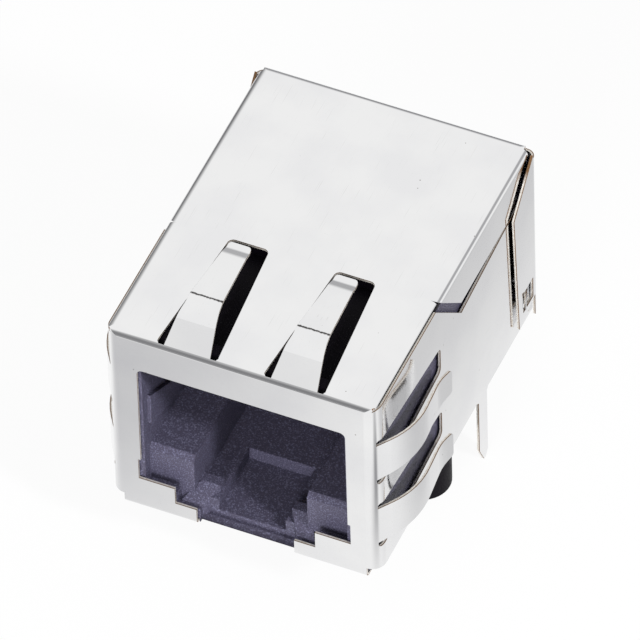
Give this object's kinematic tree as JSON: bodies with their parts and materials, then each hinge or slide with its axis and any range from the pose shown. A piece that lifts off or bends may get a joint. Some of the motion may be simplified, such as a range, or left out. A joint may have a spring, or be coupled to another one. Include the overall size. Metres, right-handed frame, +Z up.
{
  "type": "ethernet connector",
  "caption": "Right-angle shielded eight-contact network jack for a circuit board, with spring fingers, plug opening, locating pegs, solder pins and built-in magnetics.",
  "frame": {"origin": "on the board surface, midway between the two locating pegs", "axes": "+X across the jack to the right as seen by the plug, +Y from the plug face to the back, +Z up from the board"},
  "size_m": [0.0182, 0.0211, 0.0196],
  "materials": {
    "shield_plating": "bright tin-nickel plating on thin rolled sheet",
    "black_moulding": "fine spark-eroded mould texture",
    "contact_alloy": "gold flash over nickel",
    "pin_tin": "bright tin",
    "board_laminate": "solder mask over glass laminate",
    "ferrite": "sintered and tumbled",
    "enamelled_wire": "polyurethane enamel over copper",
    "resistor_film": "glazed thick film",
    "capacitor_ceramic": "fired ceramic"
  },
  "bodies": {
    "root": {"front_shield": "shield_plating", "rear_shield": "shield_plating", "jack_housing": "black_moulding", "contact_carrier": "black_moulding", "pin_block": "black_moulding", "magnetics_board": "board_laminate", "shield_capacitor": "capacitor_ceramic", "contact_1": "contact_alloy", "solder_pin_1": "pin_tin", "contact_2": "contact_alloy", "solder_pin_2": "pin_tin", "contact_3": "contact_alloy", "solder_pin_3": "pin_tin", "contact_4": "contact_alloy", "solder_pin_4": "pin_tin", "contact_5": "contact_alloy", "solder_pin_5": "pin_tin", "contact_6": "contact_alloy", "solder_pin_6": "pin_tin", "contact_7": "contact_alloy", "solder_pin_7": "pin_tin", "contact_8": "contact_alloy", "solder_pin_8": "pin_tin", "transformer_core_1": "ferrite", "choke_core_1": "ferrite", "transformer_winding_1": "enamelled_wire", "choke_winding_1": "enamelled_wire", "transformer_core_2": "ferrite", "choke_core_2": "ferrite", "transformer_winding_2": "enamelled_wire", "choke_winding_2": "enamelled_wire", "resistor_1": "resistor_film", "resistor_2": "resistor_film", "resistor_3": "resistor_film", "resistor_4": "resistor_film"}
  },
  "joints": []
}
